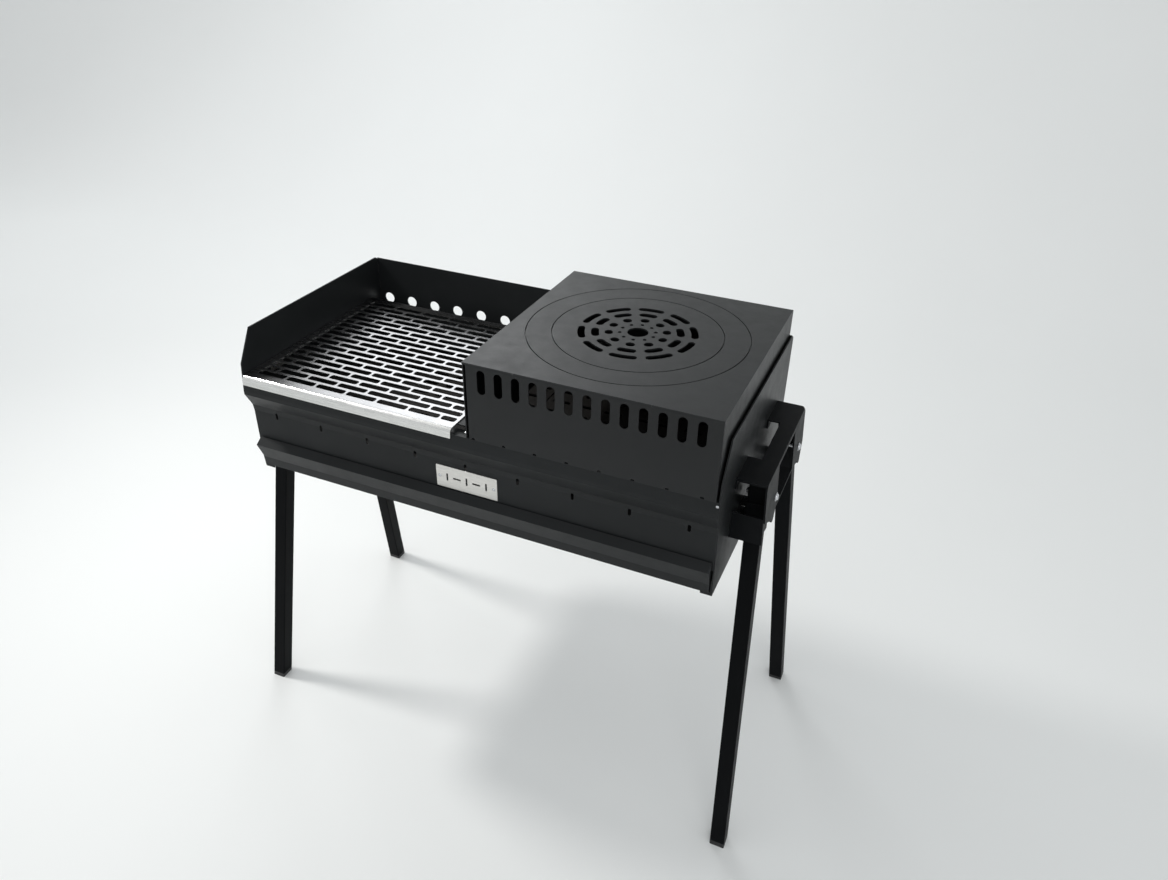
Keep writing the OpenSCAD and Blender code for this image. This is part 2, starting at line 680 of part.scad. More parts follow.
module ash_drawer() {
    color(black) folded(concat(pull_outline, [[drawer_back_y, drawer_z], [drawer_back_y, pan_top_z]]),
        sheet_t, sheet_t - drawer_x, drawer_x - sheet_t);
}

module drawer_end(side) {
    color(black) at_end(side) along_x(drawer_x - sheet_t, drawer_x)
        polygon(concat(pull_outline, [[drawer_back_y, drawer_z], [drawer_back_y, pan_top_z],
            [front_y - 0.8, pan_top_z]]));
}

// Legs ------------------------------------------------------------------------------

// Keeps the part of its children between two heights
module between(z0, z1) {
    intersection() {
        children();
        box([0, 0, z0], [2 * foot_x, 2 * foot_y, z1]);
    }
}

module leg(side, back) {
    color(black) at_leg(side, back) between(foot_h, rim_z) up_the_leg() difference() {
        linear_extrude(leg_top_z / leg_scale) rounded_2d(leg_w, leg_w, 1.8);
        translate([0, 0, -1]) linear_extrude(leg_top_z / leg_scale + 2)
            rounded_2d(leg_w - 2 * leg_wall, leg_w - 2 * leg_wall, 0.8);
    }
}

module foot(side, back) {
    color(black) at_leg(side, back) {
        between(0, foot_h) up_the_leg() translate([0, 0, -20]) linear_extrude(60)
            rounded_2d(leg_w, leg_w, 1.8);
        between(foot_h - eps, foot_h + 18) up_the_leg() translate([0, 0, -20]) linear_extrude(80)
            rounded_2d(leg_w - 2 * leg_wall - 0.1, leg_w - 2 * leg_wall - 0.1, 0.8);
    }
}

end_wall(-1);  // end_wall_left
end_wall(1);  // end_wall_right
front_panel();
back_panel();
grate_rail();
stove_rail();
rear_rail();
centre_crossbar();
crossbar_screws();
coal_rail(inside_y, 1);  // coal_rail_front
coal_rail(rear_y, -1);  // coal_rail_back
drawer_runner(-1);  // drawer_runner_left
drawer_runner(1);  // drawer_runner_right
nameplate();
nameplate_rivets();
handle_bracket(-1);  // handle_bracket_left
handle_bracket(1);  // handle_bracket_right
leg_socket(-1, -1);  // leg_socket_front_left
leg_socket(1, -1);  // leg_socket_front_right
leg_socket(-1, 1);  // leg_socket_back_left
leg_socket(1, 1);  // leg_socket_back_right
clamp_bolts();
clamp_nuts();
bracket_screws();
cooking_grate();
grate_end_tabs();
stove_top();
stove_side(stove_x0);  // stove_side_left
stove_side(stove_x1 - sheet_t);  // stove_side_right
stove_ring_seat();
outer_ring();
disc_seat();
hob_disc();
coal_grate(-1);  // coal_grate_left
coal_grate(1);  // coal_grate_right
ash_drawer();
drawer_end(-1);  // drawer_end_left
drawer_end(1);  // drawer_end_right
leg(-1, -1);  // leg_front_left
leg(1, -1);  // leg_front_right
leg(-1, 1);  // leg_back_left
leg(1, 1);  // leg_back_right
foot(-1, -1);  // foot_front_left
foot(1, -1);  // foot_front_right
foot(-1, 1);  // foot_back_left
foot(1, 1);  // foot_back_right
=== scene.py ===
import json
import math

import bmesh
import bpy
from mathutils import Matrix, Vector


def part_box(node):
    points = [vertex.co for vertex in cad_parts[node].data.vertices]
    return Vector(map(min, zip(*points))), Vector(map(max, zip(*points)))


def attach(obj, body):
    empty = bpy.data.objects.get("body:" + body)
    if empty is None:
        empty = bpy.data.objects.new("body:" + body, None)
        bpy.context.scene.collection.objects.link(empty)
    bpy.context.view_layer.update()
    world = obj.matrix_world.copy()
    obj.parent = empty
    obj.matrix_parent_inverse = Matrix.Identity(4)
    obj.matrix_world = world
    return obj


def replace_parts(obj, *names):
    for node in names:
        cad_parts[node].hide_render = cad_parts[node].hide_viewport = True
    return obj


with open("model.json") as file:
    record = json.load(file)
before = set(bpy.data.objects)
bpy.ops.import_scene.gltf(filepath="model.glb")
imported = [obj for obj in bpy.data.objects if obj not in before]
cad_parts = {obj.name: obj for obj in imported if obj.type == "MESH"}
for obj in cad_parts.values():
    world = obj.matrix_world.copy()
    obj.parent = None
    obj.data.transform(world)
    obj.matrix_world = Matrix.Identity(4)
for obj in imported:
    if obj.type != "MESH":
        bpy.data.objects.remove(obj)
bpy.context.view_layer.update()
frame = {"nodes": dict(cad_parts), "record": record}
cadNodes = frame["nodes"]
scene = bpy.context.scene
print("frame loaded:", len(cadNodes), "nodes")


# camera

cameraSettings = {
    "position": (0.6148, -1.1796, 1.3914),
    "turn": 0.4047,      # radians to the left of +Y
    "tilt": 0.5563,      # radians below the horizon
    "roll": 0.0192,
    "lens": 27.83,
    "sensor": 36,
}


def makeCamera(s):
    turn, tilt, roll = s["turn"], s["tilt"], s["roll"]
    ahead = Vector((-math.sin(turn) * math.cos(tilt), math.cos(turn) * math.cos(tilt), -math.sin(tilt)))
    right = Vector((math.cos(turn), math.sin(turn), 0))
    up = right.cross(ahead)
    rolledRight = right * math.cos(roll) + up * math.sin(roll)
    rolledUp = up * math.cos(roll) - right * math.sin(roll)
    data = bpy.data.cameras.new("camera")
    data.sensor_width = s["sensor"]
    data.lens = s["lens"]
    data.clip_start = 0.05
    data.clip_end = 60
    cam = bpy.data.objects.new("camera", data)
    turned = Matrix((rolledRight, rolledUp, -ahead)).transposed().to_4x4()
    cam.matrix_world = Matrix.Translation(s["position"]) @ turned
    scene.collection.objects.link(cam)
    scene.camera = cam


makeCamera(cameraSettings)
scene.view_settings.view_transform = "Standard"
scene.view_settings.look = "None"


# materials

class NodeTree:
    # short calls for building a material's nodes

    def __init__(self, name):
        self.material = bpy.data.materials.new(name)
        self.material.use_nodes = True
        self.nodes = self.material.node_tree.nodes
        self.links = self.material.node_tree.links
        self.shader = self.nodes["Principled BSDF"]
        self.place = self.nodes.new("ShaderNodeTexCoord").outputs["Object"]

    def join(self, out, socket):
        self.links.new(out, socket)

    def noise(self, scale, detail=2.0, rough=0.5, stretch=None, distortion=0.0):
        node = self.nodes.new("ShaderNodeTexNoise")
        node.inputs["Scale"].default_value = scale
        node.inputs["Detail"].default_value = detail
        node.inputs["Roughness"].default_value = rough
        node.inputs["Distortion"].default_value = distortion
        source = self.place
        if stretch:
            mapping = self.nodes.new("ShaderNodeMapping")
            mapping.inputs["Scale"].default_value = stretch
            self.join(source, mapping.inputs["Vector"])
            source = mapping.outputs["Vector"]
        self.join(source, node.inputs["Vector"])
        return node.outputs["Fac"]

    def spread(self, value, low, high, fromLow=0.3, fromHigh=0.7):
        node = self.nodes.new("ShaderNodeMapRange")
        node.inputs["From Min"].default_value = fromLow
        node.inputs["From Max"].default_value = fromHigh
        node.inputs["To Min"].default_value = low
        node.inputs["To Max"].default_value = high
        self.join(value, node.inputs["Value"])
        return node.outputs["Result"]

    def math(self, kind, a, b):
        node = self.nodes.new("ShaderNodeMath")
        node.operation = kind
        for socket, given in zip(node.inputs, (a, b)):
            if isinstance(given, (int, float)):
                socket.default_value = given
            else:
                self.join(given, socket)
        return node.outputs[0]

    def ramp(self, value, stops):
        node = self.nodes.new("ShaderNodeValToRGB")
        marks = node.color_ramp.elements
        while len(marks) < len(stops):
            marks.new(0.5)
        for mark, (where, colour) in zip(marks, stops):
            mark.position = where
            mark.color = (*colour, 1)
        self.join(value, node.inputs["Fac"])
        return node.outputs["Color"]

    def mix(self, factor, a, b):
        node = self.nodes.new("ShaderNodeMix")
        node.data_type = "RGBA"
        self.join(factor, node.inputs["Factor"])
        for socket, given in ((node.inputs["A"], a), (node.inputs["B"], b)):
            if isinstance(given, tuple):
                socket.default_value = (*given, 1)
            else:
                self.join(given, socket)
        return node.outputs["Result"]

    def bump(self, height, distance, strength=1.0, under=None):
        node = self.nodes.new("ShaderNodeBump")
        node.inputs["Distance"].default_value = distance
        node.inputs["Strength"].default_value = strength
        self.join(height, node.inputs["Height"])
        if under:
            self.join(under, node.inputs["Normal"])
        return node.outputs["Normal"]

    def facing(self, low, high):
        # 0 on walls, 1 on faces that look straight up
        parts = self.nodes.new("ShaderNodeSeparateXYZ")
        self.join(self.nodes.new("ShaderNodeNewGeometry").outputs["Normal"], parts.inputs["Vector"])
        return self.spread(parts.outputs["Z"], 0, 1, low, high)

    def edges(self, radius):
        # 0 on flat faces, rising to about 1 on a sharp edge
        rounded = self.nodes.new("ShaderNodeBevel")
        rounded.samples = 4
        rounded.inputs["Radius"].default_value = radius
        flat = self.nodes.new("ShaderNodeNewGeometry").outputs["Normal"]
        dot = self.nodes.new("ShaderNodeVectorMath")
        dot.operation = "DOT_PRODUCT"
        self.join(rounded.outputs["Normal"], dot.inputs[0])
        self.join(flat, dot.inputs[1])
        return self.spread(dot.outputs["Value"], 1, 0, 0.75, 0.985)


def powderCoat(name, s):
    t = NodeTree(name)
    broad = t.noise(s["broad"], 3, 0.6)
    patches = t.noise(s["patches"], 4, 0.65)
    grain = t.noise(s["grain"], 2, 0.6)
    peel = t.noise(s["grain"] * s["peelShare"], 2)
    dark = tuple(c * s["darkest"] for c in s["colour"])
    light = tuple(c * s["lightest"] for c in s["colour"])
    tone = t.ramp(broad, [(0.3, dark), (0.52, s["colour"]), (0.75, light)])
    fleck = t.spread(grain, 0, 0.35, 0.62, 0.8)
    tone = t.mix(fleck, tone, s["fleck"])
    worn = t.math("MULTIPLY", t.edges(s["edge"]), t.spread(patches, 0.15, 0.9, 0.4, 0.62))
    t.join(t.mix(t.math("MULTIPLY", worn, s["wear"]), tone, s["rub"]), t.shader.inputs["Base Color"])
    smear = t.spread(patches, -s["smear"], s["smear"])
    rough = t.math("ADD", t.spread(broad, s["rough"] - 0.03, s["rough"] + 0.04), smear)
    t.join(rough, t.shader.inputs["Roughness"])
    t.shader.inputs["Specular IOR Level"].default_value = s["specular"]
    relief = t.bump(peel, s["peelDepth"], 0.6)
    t.join(t.bump(grain, s["grainDepth"], 0.7, relief), t.shader.inputs["Normal"])
    return t.material


def brushedSteel(name, s):
    t = NodeTree(name)
    fine = t.noise(s["lines"], 3, 0.6, s["along"])
    coarse = t.noise(s["lines"] * 0.2, 4, 0.7, s["along"])
    cloud = t.noise(s["cloud"], 3, 0.6)
    both = t.math("ADD", t.math("MULTIPLY", fine, 0.6), t.math("MULTIPLY", coarse, 0.4))
    # "top" is a painted shade given to faces that look straight up, to dim their reflection of the lights;
    # "colour" is that of all the others
    tonesWithPaintedTopShade = [t.ramp(both, [(0.32, tuple(c * s["darkest"] for c in s[k])), (0.62, s[k])])
             for k in ("colour", "top")]
    t.join(t.mix(t.facing(0.97, 0.999), *tonesWithPaintedTopShade), t.shader.inputs["Base Color"])
    rough = t.math("ADD", t.spread(both, s["rough"] - 0.07, s["rough"] + 0.08), t.spread(cloud, -0.03, 0.04))
    t.join(rough, t.shader.inputs["Roughness"])
    t.shader.inputs["Metallic"].default_value = 1
    t.join(t.bump(both, s["depth"], 0.8), t.shader.inputs["Normal"])
    return t.material


def zincPlate(name, s):
    t = NodeTree(name)
    cells = t.nodes.new("ShaderNodeTexVoronoi")
    cells.inputs["Scale"].default_value = s["spangle"]
    t.join(t.place, cells.inputs["Vector"])
    tone = t.mix(t.spread(cells.outputs["Distance"], 0, 1, 0, 0.7), s["colour"], s["shade"])
    t.join(tone, t.shader.inputs["Base Color"])
    scratches = t.noise(s["scratches"], 3, 0.6, (1, 1, 0.2))
    t.join(t.spread(scratches, s["rough"] - 0.06, s["rough"] + 0.1), t.shader.inputs["Roughness"])
    t.shader.inputs["Metallic"].default_value = 1
    t.join(t.bump(scratches, s["depth"], 0.5), t.shader.inputs["Normal"])
    return t.material


def mouldedPlastic(name, s):
    t = NodeTree(name)
    skin = t.noise(s["skin"], 2, 0.6)
    scuffs = t.noise(s["scuffs"], 5, 0.7, (1, 1, 0.3))
    worn = t.spread(scuffs, 0, 0.5, 0.55, 0.75)
    t.join(t.mix(worn, s["colour"], s["scuff"]), t.shader.inputs["Base Color"])
    t.join(t.spread(scuffs, s["rough"] - 0.05, s["rough"] + 0.12), t.shader.inputs["Roughness"])
    t.join(t.bump(skin, s["depth"], 0.6), t.shader.inputs["Normal"])
    return t.material


coatSettings = {
    "colour": (0.0150, 0.0164, 0.0172),
    "fleck": (0.024, 0.026, 0.028),
    "rub": (0.070, 0.073, 0.075),
    "rough": 0.40,
    "specular": 0.16,
    "broad": 5,              # the texture scales are per metre
    "patches": 38,
    "grain": 1500,
    "peelShare": 0.22,       # orange peel's scale, as a share of the grain's
    "darkest": 0.82,         # shade steps, as shares of the colour
    "lightest": 1.25,
    "smear": 0.04,           # change of roughness between patches
    "grainDepth": 0.00004,
    "peelDepth": 0.00007,
    "edge": 0.0009,
    "wear": 0.55,
}
coatVariants = {
    "body_black": {},
    "bracket_black": {"colour": (0.0056, 0.0063, 0.0072), "fleck": (0.014, 0.015, 0.017), "rough": 0.46,
                      "specular": 0.06, "wear": 0.6},
    "leg_black": {"colour": (0.0046, 0.0051, 0.0057), "fleck": (0.012, 0.013, 0.014), "rough": 0.42,
                  "specular": 0.035},
    "stove_black": {"colour": (0.0110, 0.0120, 0.0128), "rough": 0.42, "specular": 0.30},
    "hob_black": {"colour": (0.0105, 0.0115, 0.0122), "rough": 0.45, "specular": 0.32, "grain": 1300,
                  "edge": 0.0007},
    "coal_grate_black": {"colour": (0.016, 0.0145, 0.013), "rough": 0.62, "specular": 0.3, "wear": 0.9},
}
brushing = {"along": (3, 60, 60), "depth": 0.00002, "cloud": 14, "darkest": 0.8}
steelSettings = {
    # the grate's "top" is a painted shade, far darker than its steel "colour", that dims the lights'
    # reflection on its upward faces
    "grate_steel": {**brushing, "colour": (0.92, 0.915, 0.895), "top": (0.30, 0.30, 0.305),
                    "rough": 0.27, "lines": 16},
    "nameplate_steel": {**brushing, "colour": (0.78, 0.765, 0.735), "top": (0.78, 0.765, 0.735),
                        "rough": 0.33, "lines": 22},
}
zincSettings = {"colour": (0.80, 0.81, 0.83), "shade": (0.60, 0.61, 0.63), "rough": 0.26,
                "spangle": 900, "scratches": 900, "depth": 0.00001}
plasticSettings = {"colour": (0.014, 0.014, 0.015), "scuff": (0.06, 0.06, 0.06), "rough": 0.5,
                   "skin": 1500, "scuffs": 120, "depth": 0.00005}

finishes = {name: powderCoat(name, {**coatSettings, **changes}) for name, changes in coatVariants.items()}
finishes.update({name: brushedSteel(name, s) for name, s in steelSettings.items()})
finishes["fastener_zinc"] = zincPlate("fastener_zinc", zincSettings)
finishes["foot_plastic"] = mouldedPlastic("foot_plastic", plasticSettings)
print("finishes made:", len(finishes))


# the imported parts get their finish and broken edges

edgeBreak = {
    "body_black": 0.00035,
    "bracket_black": 0.0005,
    "leg_black": 0.0004,
    "stove_black": 0.0005,
    "hob_black": 0.0003,
    "coal_grate_black": 0.0003,
    "grate_steel": 0.00025,
    "nameplate_steel": 0.0002,
    "fastener_zinc": 0.0003,
    "foot_plastic": 0.0008,
}
pullEdge = 0.0009        # the bends of the ash drawer's pull are rounder
sharpAngle = 35          # degrees; a sharper turn counts as an edge
slotOf = {p["node"]: p["material_slot"] for p in frame["record"]["subparts"]}


def breakEdges(obj, width):
    bevel = obj.modifiers.new("broken edges", "BEVEL")
    bevel.width = width
    bevel.segments = 2
    bevel.limit_method = "ANGLE"
    bevel.angle_limit = math.radians(sharpAngle)
    bevel.use_clamp_overlap = True
    shade = obj.modifiers.new("even shading", "WEIGHTED_NORMAL")
    shade.keep_sharp = True


for node, part in cadNodes.items():
    finish = slotOf[node]
    part.data.materials.clear()
    part.data.materials.append(finishes[finish])
    breakEdges(part, pullEdge if node == "ash_drawer" else edgeBreak[finish])
print("packed parts finished")


# helpers for new pieces

def addPiece(name, bm, finish, body, smoothUnder=sharpAngle):
    bmesh.ops.recalc_face_normals(bm, faces=bm.faces)
    mesh = bpy.data.meshes.new(name)
    bm.to_mesh(mesh)
    bm.free()
    mesh.materials.append(finishes[finish])
    mesh.shade_smooth()
    mesh.set_sharp_from_angle(angle=math.radians(smoothUnder))
    obj = bpy.data.objects.new(name, mesh)
    scene.collection.objects.link(obj)
    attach(obj, body)
    return obj


def frameAlong(axis):
    # two directions square to the axis
    axis = axis.normalized()
    side = axis.cross(Vector((0, 0, 1)))
    if side.length < 0.1:
        side = axis.cross(Vector((0, 1, 0)))
    side.normalize()
    return side, axis.cross(side)


def hexRadius(flats, angle):
    return flats / 2 / math.cos((angle + math.pi / 6) % (math.pi / 3) - math.pi / 6)


def turned(bm, profile, centre, axis, steps=36):
    # profile rows: (radius, height, "round" or "hex"); a radius of 0 closes the end
    side, up = frameAlong(axis)
    axis = axis.normalized()
    rings = []
    for radius, height, shape in profile:
        middle = centre + axis * height
        if radius == 0:
            rings.append([bm.verts.new(middle)])
            continue
        ring = []
        for k in range(steps):
            angle = 2 * math.pi * k / steps
            r = hexRadius(radius * 2, angle) if shape == "hex" else radius
            ring.append(bm.verts.new(middle + side * (r * math.cos(angle)) + up * (r * math.sin(angle))))
        rings.append(ring)
    for a, b in zip(rings, rings[1:]):
        for k in range(steps):
            n = (k + 1) % steps
            if len(a) == 1:
                bm.faces.new((a[0], b[k], b[n]))
            elif len(b) == 1:
                bm.faces.new((a[k], b[0], a[n]))
            else:
                bm.faces.new((a[k], b[k], b[n], a[n]))
    return rings


def tubeAlong(bm, points, radiusAt, steps=10):
    # a closed round bar through the points; radiusAt gives the radius at each point's number
    rings = []
    for i, point in enumerate(points):
        ahead = points[min(i + 1, len(points) - 1)] - points[max(i - 1, 0)]
        side, up = frameAlong(ahead)
        r = radiusAt(i)
        rings.append([bm.verts.new(point + side * (r * math.cos(a)) + up * (r * math.sin(a)))
                      for a in (2 * math.pi * k / steps for k in range(steps))])
    for a, b in zip(rings, rings[1:]):
        for k in range(steps):
            n = (k + 1) % steps
            bm.faces.new((a[k], a[n], b[n], b[k]))
    bm.faces.new(rings[0][::-1])
    bm.faces.new(rings[-1])


def looseSolids(node):
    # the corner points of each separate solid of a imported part
    mesh = cadNodes[node].data
    near = {}
    for v in mesh.vertices:
        near.setdefault(tuple(round(c, 6) for c in v.co), []).append(v.index)
    group = {v.index: v.index for v in mesh.vertices}

    def top(i):
        while group[i] != i:
            group[i] = group[group[i]]
            i = group[i]
        return i

    for same in near.values():
        for i in same[1:]:
            group[top(i)] = top(same[0])
    for edge in mesh.edges:
        group[top(edge.vertices[0])] = top(edge.vertices[1])
    solids = {}
    for v in mesh.vertices:
        solids.setdefault(top(v.index), []).append(v.co.copy())
    return sorted(solids.values(), key=lambda s: tuple(sum(s, Vector()) / len(s)))


def middleOf(points):
    low = Vector(min(p[k] for p in points) for k in range(3))
    high = Vector(max(p[k] for p in points) for k in range(3))
    return (low + high) / 2


def reachAlong(points, axis):
    # lowest and highest reach of the points along the axis
    reach = [p.dot(axis) for p in points]
    return min(reach), max(reach)


# bolts, nuts, screws and rivets

boltSettings = {
    "washer": 0.0068,        # radii and heights
    "washerHeight": 0.0010,
    "head": 0.0052,
    "headHeight": 0.0030,
    "key": 0.0020,           # half the hex key's width
    "keyDepth": 0.0016,
    "dome": ((0.62, 0.0002), (0.86, 0.0009), (0.97, 0.0018), (1, 0.0024)),  # share of head, drop
    "proud": 0.0008,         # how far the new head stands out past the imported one
    "shank": 0.0030,
    "groove": 0.0004,        # depth of the thread
    "point": 0.0006,         # bevel at the far end
    "threadPitch": 0.0010,
    "threadLength": 0.0160,
}
endSearch = {"headPoints": 12, "innerPoints": 80, "within": 0.0006}


def domedHead(s):
    # a button head with a hex recess on its washer, seen from its top down to the plate
    seat = s["washerHeight"]
    top = seat + s["headHeight"]
    head, edge = s["head"], s["washer"]
    rows = [(0, top - s["keyDepth"], "round"), (s["key"], top - s["keyDepth"], "hex"),
            (s["key"], top - 0.0001, "hex"), (s["key"] * 1.25, top, "round")]
    rows += [(head * share, top - drop, "round") for share, drop in s["dome"]]
    rows += [(head, seat, "round"), (head, seat + 0.0001, "round"), (edge - 0.0002, seat, "round"),
             (edge, seat - 0.0002, "round"), (edge, 0, "round")]
    return rows


def boltAxis(points):
    # the middle of the bolt's outer end, and the direction to it from the inner end
    outward = max(points, key=lambda p: abs(p.x)).x > 0
    reach = sorted(points, key=lambda p: p.x, reverse=outward)
    outer = middleOf(reach[:endSearch["headPoints"]])
    inner = middleOf([p for p in reach[-endSearch["innerPoints"]:]
                      if abs(p.x - reach[-1].x) < endSearch["within"]])
    return outer, (outer - inner).normalized()


def makeClampBolts(s):
    bm = bmesh.new()
    for points in looseSolids("clamp_bolts"):
        outer, axis = boltAxis(points)
        low, high = reachAlong(points, axis)
        seat = outer + axis * (high - outer.dot(axis) - s["washerHeight"] - s["headHeight"] + s["proud"])
        length = seat.dot(axis) - low
        rows = domedHead(s) + [(s["shank"], 0, "round"), (s["shank"], -length + s["threadLength"], "round")]
        turns = int(s["threadLength"] / s["threadPitch"])
        for k in range(turns):
            at = -length + s["threadLength"] - (k + 0.5) * s["threadPitch"]
            rows += [(s["shank"] - s["groove"], at, "round"),
                     (s["shank"], at - s["threadPitch"] / 2, "round")]
        rows += [(s["shank"] - s["point"], -length, "round"), (0, -length, "round")]
        turned(bm, rows, seat, axis)
    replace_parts(addPiece("clampBolts", bm, "fastener_zinc", "fire_box"), "clamp_bolts")


nutSettings = {"flats": 0.0100, "bore": 0.00303, "chamfer": 0.0006}


def makeClampNuts(s):
    bm = bmesh.new()
    for points in looseSolids("clamp_nuts"):
        # each nut goes with the bolt whose line passes nearest to it
        outer, axis = min((boltAxis(p) for p in looseSolids("clamp_bolts")),
                          key=lambda b: (middleOf(points) - b[0]).cross(b[1]).length)
        low, high = reachAlong(points, axis)
        base = outer + axis * (low - outer.dot(axis))
        thick = high - low
        half = s["flats"] / 2
        rows = [(s["bore"], 0, "round"), (half * 0.98, 0, "round"), (half, s["chamfer"] * 0.5, "hex"),
                (half, thick - s["chamfer"] * 0.5, "hex"), (half * 0.98, thick, "round"),
                (s["bore"], thick, "round")]
        rings = turned(bm, rows, base, axis)
        steps = len(rings[0])
        for k in range(steps):
            n = (k + 1) % steps
            bm.faces.new((rings[-1][k], rings[-1][n], rings[0][n], rings[0][k]))
    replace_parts(addPiece("clampNuts", bm, "fastener_zinc", "fire_box"), "clamp_nuts")


screwSettings = {**boltSettings, "washer": 0.0046, "washerHeight": 0.0007, "head": 0.0040,
                 "headHeight": 0.0022, "key": 0.0014, "keyDepth": 0.0011, "shank": 0.0025,
                 "packedHead": 0.0030}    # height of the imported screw's head


def makeBracketScrews(s):
    bm = bmesh.new()
    for points in looseSolids("bracket_screws"):
        middle = middleOf(points)
        axis = Vector((1 if middle.x > 0 else -1, 0, 0))
        low, high = reachAlong(points, axis)
        plate = high - s["packedHead"]
        seat = Vector((axis.x * plate, middle.y, middle.z))
        length = plate - low
        rows = domedHead(s) + [(s["shank"], 0, "round"), (s["shank"], s["point"] - length, "round"),
                               (s["shank"] - s["point"], -length, "round"), (0, -length, "round")]
        turned(bm, rows, seat, axis, 24)
    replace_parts(addPiece("bracketScrews", bm, "fastener_zinc", "fire_box"), "bracket_screws")


crossScrewSettings = {
    "head": 0.0040,
    "height": 0.0023,
    "packedHead": 0.0024,
    "dome": ((0.5, 0.0001), (0.8, 0.0005), (0.97, 0.0012), (1, 0.0017)),
    "slotWidth": 0.0009,
    "slotReach": 0.0022,
    "slotDepth": 0.0012,
    "slotAbove": 0.0002,     # how far the cut is raised to clear the top
    "shank": 0.0020,
}


def makeCrossbarScrew(s):
    low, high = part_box("crossbar_screws")
    seat = Vector(((low.x + high.x) / 2, (low.y + high.y) / 2, high.z - s["packedHead"]))
    up = Vector((0, 0, 1))
    bm = bmesh.new()
    head, top = s["head"], s["height"]
    rows = [(0, top, "round")] + [(head * share, top - drop, "round") for share, drop in s["dome"]]
    rows += [(head, 0, "round"), (s["shank"], 0, "round"), (s["shank"], low.z - seat.z, "round"),
             (0, low.z - seat.z, "round")]
    turned(bm, rows, seat, up)
    screw = addPiece("crossbarScrew", bm, "fastener_zinc", "fire_box")
    cutter = bmesh.new()
    place = Matrix.Translation(seat + up * (top - s["slotDepth"] / 2 + s["slotAbove"]))
    size = Matrix.Diagonal((s["slotReach"] * 2, s["slotWidth"], s["slotDepth"], 1))
    for turn in (0, math.pi / 2):
        spin = place @ Matrix.Rotation(turn, 4, "Z")
        bmesh.ops.create_cube(cutter, size=1, matrix=spin @ size)
    cutAway(screw, cutter)
    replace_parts(screw, "crossbar_screws")


def cutAway(obj, bm):
    # cuts the solids in bm out of the piece for good
    mesh = bpy.data.meshes.new("cutter")
    bm.to_mesh(mesh)
    bm.free()
    cutter = bpy.data.objects.new("cutter", mesh)
    scene.collection.objects.link(cutter)
    cut = obj.modifiers.new("cut", "BOOLEAN")
    cut.operation = "DIFFERENCE"
    cut.solver = "EXACT"
    cut.use_self = True
    cut.object = cutter
    bpy.context.view_layer.update()
    made = bpy.data.meshes.new_from_object(obj.evaluated_get(bpy.context.evaluated_depsgraph_get()))
    obj.modifiers.clear()
    obj.data = made
    bpy.data.objects.remove(cutter)


rivetSettings = {"head": 0.00275, "height": 0.0009, "stem": 0.0009, "stemDepth": 0.0005, "shank": 0.0016}
seamRivetSettings = {**rivetSettings, "head": 0.0021, "height": 0.0006, "stem": 0.0006, "sink": 0.0012}


def rivetRows(s, sink):
    head, stem, top = s["head"], s["stem"], s["height"]
    return [(0, top - s["stemDepth"], "round"), (stem, top - s["stemDepth"], "round"),
            (stem, top - 0.0001, "round"), (stem + 0.0003, top, "round"), (head * 0.7, top * 0.8, "round"),
            (head * 0.93, top * 0.4, "round"), (head, 0, "round"), (s["shank"], 0, "round"),
            (s["shank"], -sink, "round"), (0, -sink, "round")]


def makeNameplateRivets(s):
    bm = bmesh.new()
    low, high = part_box("nameplate_rivets")
    for points in looseSolids("nameplate_rivets"):
        middle = middleOf(points)
        seat = Vector((middle.x, low.y + s["height"], middle.z))
        turned(bm, rivetRows(s, high.y - seat.y), seat, Vector((0, -1, 0)), 24)
    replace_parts(addPiece("nameplateRivets", bm, "fastener_zinc", "fire_box"), "nameplate_rivets")


def makeSeamRivet(s):
    # the bright rivet at the right end of the front band
    low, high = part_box("front_panel")
    seat = Vector((high.x - 0.0012, low.y + s["height"], high.z - 0.0062))
    bm = bmesh.new()
    turned(bm, rivetRows(s, s["sink"]), seat, Vector((0, -1, 0)), 24)
    addPiece("seamRivet", bm, "fastener_zinc", "fire_box")


makeClampBolts(boltSettings)
makeClampNuts(nutSettings)
makeBracketScrews(screwSettings)
makeCrossbarScrew(crossScrewSettings)
makeNameplateRivets(rivetSettings)
makeSeamRivet(seamRivetSettings)
print("fasteners made")


# welds

weldSettings = {
    "radius": 0.0016,
    "ripple": 0.0011,
    "unevenness": 0.16,
    "underRim": 0.0165,               # the arms' beads, below the bracket's top
    "armBeads": (0.008, 0.044),       # their starts, from each end of the bracket
    "armBead": 0.014,
    "cheekBeads": (0.003, 0.029),     # the cheek's beads, above the bracket's foot
    "cheekBead": 0.012,
    "socketInset": 0.002,
    "socketBead": 0.007,
}


def weldBead(bm, start, end, s):
    steps = max(4, int((end - start).length / s["ripple"]) * 3)
    points = [start.lerp(end, i / steps) for i in range(steps + 1)]

    def radiusAt(i):
        swell = abs(math.sin(math.pi * i / 3 + 0.4))
        close = min(1, (i + 0.6) / 2.5, (steps - i + 0.6) / 2.5)
        wander = 1 + s["unevenness"] * math.sin(i * 0.37 + start.x * 90)
        return s["radius"] * (0.8 + 0.2 * swell) * close * wander

    tubeAlong(bm, points, radiusAt, 8)


